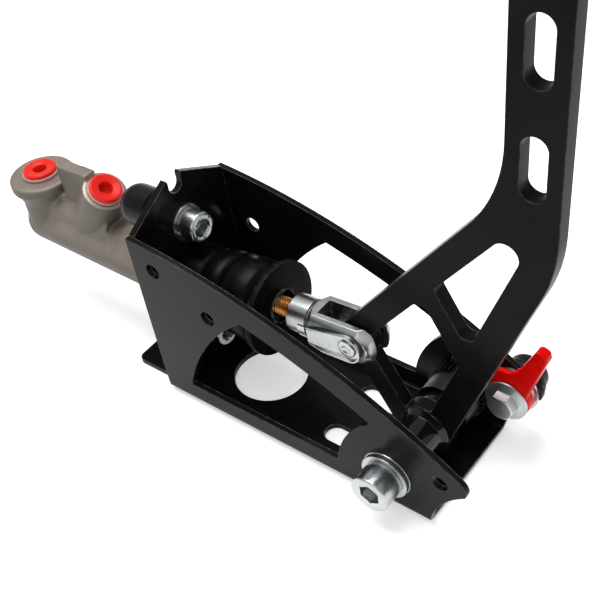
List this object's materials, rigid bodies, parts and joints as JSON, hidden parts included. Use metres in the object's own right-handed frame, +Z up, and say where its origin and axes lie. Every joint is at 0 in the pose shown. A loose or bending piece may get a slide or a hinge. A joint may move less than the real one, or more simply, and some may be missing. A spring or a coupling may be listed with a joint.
{
  "type": "hydraulic handbrake",
  "caption": "Upright hydraulic handbrake: folded bracket, master cylinder with two plugged ports, slotted lever on a tube pivot, ball-ended pushrod with clevis, and a ratchet with a pawl.",
  "frame": {"origin": "on the underside of the base at mid-width, where the rear edges of the side plates meet the floor", "axes": "+X towards the front, where the lever's grip leads; +Z up along the lever; the near side, with the pivot bolt's head, is -Y; the ratchet is on +Y"},
  "size_m": [0.272, 0.0845, 0.322],
  "materials": {
    "powder_black": "satin powder coat",
    "cast_aluminium": "sand cast, matt",
    "zinc": "bright zinc plate",
    "turned_aluminium": "turned, bright",
    "rod_brass": "yellow passivated thread",
    "spring_steel": "bright wire",
    "bush_bronze": "sintered bronze",
    "red_anodised": "satin red",
    "red_plastic": "glossy",
    "black_plastic": "glossy",
    "rubber": "matt",
    "grip_rubber": "matt moulded"
  },
  "bodies": {
    "root": {"bracket_channel": "powder_black", "rear_wall": "powder_black", "cylinder_body": "cast_aluminium", "port_plug_rear": "red_plastic", "port_plug_front": "red_plastic", "flange_bolt_upper": "zinc", "flange_bolt_lower": "zinc", "flange_washers_inner": "zinc", "flange_washers_outer": "zinc", "flange_nuts": "zinc", "nut_cap_upper": "black_plastic", "nut_cap_lower": "black_plastic", "return_spring": "spring_steel", "stop_washer": "zinc", "circlip": "zinc", "boot": "rubber", "pivot_bolt": "zinc", "pivot_shim": "zinc", "pivot_washer_near": "zinc", "pivot_washer_far": "zinc", "pivot_nut": "zinc", "pivot_nut_cap": "black_plastic", "pawl_bolt": "zinc", "pawl_spacer": "turned_aluminium", "pawl_washer": "zinc", "pawl_nut": "zinc", "pawl_nut_cap": "black_plastic"},
    "lever": {"lever_plate": "powder_black", "grip_near": "grip_rubber", "grip_far": "grip_rubber", "grip_fixings": "zinc", "pivot_tube": "powder_black", "pivot_bush_near": "bush_bronze", "pivot_bush_far": "bush_bronze", "ratchet_wheel": "zinc"},
    "pushrod": {"pushrod": "rod_brass", "clevis": "zinc", "clevis_pin": "zinc", "pin_clips": "zinc"},
    "piston": {"piston": "turned_aluminium", "piston_seal_front": "rubber", "piston_seal_rear": "rubber"},
    "pawl": {"pawl": "red_anodised"}
  },
  "joints": [
    {"name": "lever_pull", "type": "hinge", "parent": "root", "child": "lever", "pos_m": [0.1136, 0, 0.0185], "axis": [0, -1, 0], "range_deg": [0, 20], "stiffness_Nm_per_rad": 4, "springref_deg": -17.19},
    {"name": "pushrod_swing", "type": "hinge", "parent": "lever", "child": "pushrod", "pos_m": [0.084, 0, 0.0513], "axis": [0, -1, 0], "range_deg": [-27.5, 0]},
    {"name": "piston_travel", "type": "slide", "parent": "root", "child": "piston", "axis": [-0.999, 0, -0.0436], "range_m": [0, 0.0098], "deforming": ["boot", "return_spring"]},
    {"name": "pawl_turn", "type": "hinge", "parent": "root", "child": "pawl", "pos_m": [0.1362, 0.0215, 0.0274], "axis": [0, -1, 0], "range_deg": [0, 7]}
  ],
  "couplings": [
    {"joint": "pushrod_swing", "follows": "lever_pull", "ratio": -1.3645},
    {"joint": "piston_travel", "follows": "lever_pull", "m_per_rad": 0.02765}
  ]
}
